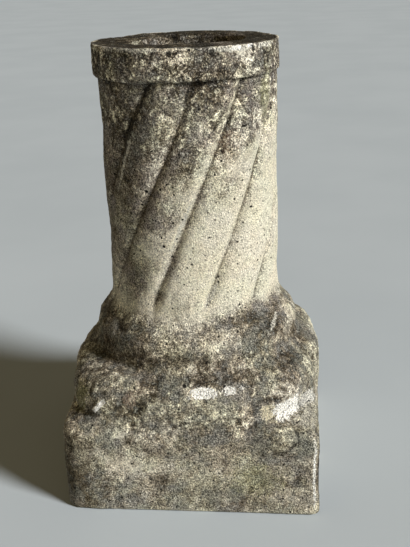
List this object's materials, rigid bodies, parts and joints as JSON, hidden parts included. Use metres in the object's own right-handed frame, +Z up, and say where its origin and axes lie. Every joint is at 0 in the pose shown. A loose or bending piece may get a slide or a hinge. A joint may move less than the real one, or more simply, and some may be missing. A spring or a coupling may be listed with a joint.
{
  "type": "cast stone column",
  "caption": "Short cast stone column: square plinth, worn base mouldings with corner spurs, spiral reeded round shaft, plain collar and a round socket in the flat top.",
  "frame": {"origin": "middle of the square underside, on the surface that the column stands on", "axes": "+Z up along the shaft, front of the plinth towards -Y, +X to the right of the front"},
  "size_m": [0.278, 0.278, 0.48],
  "materials": {
    "cast_stone": "matt weathered buff-grey cast stone with dark lichen"
  },
  "bodies": {
    "root": {"column": "cast_stone"}
  },
  "joints": []
}
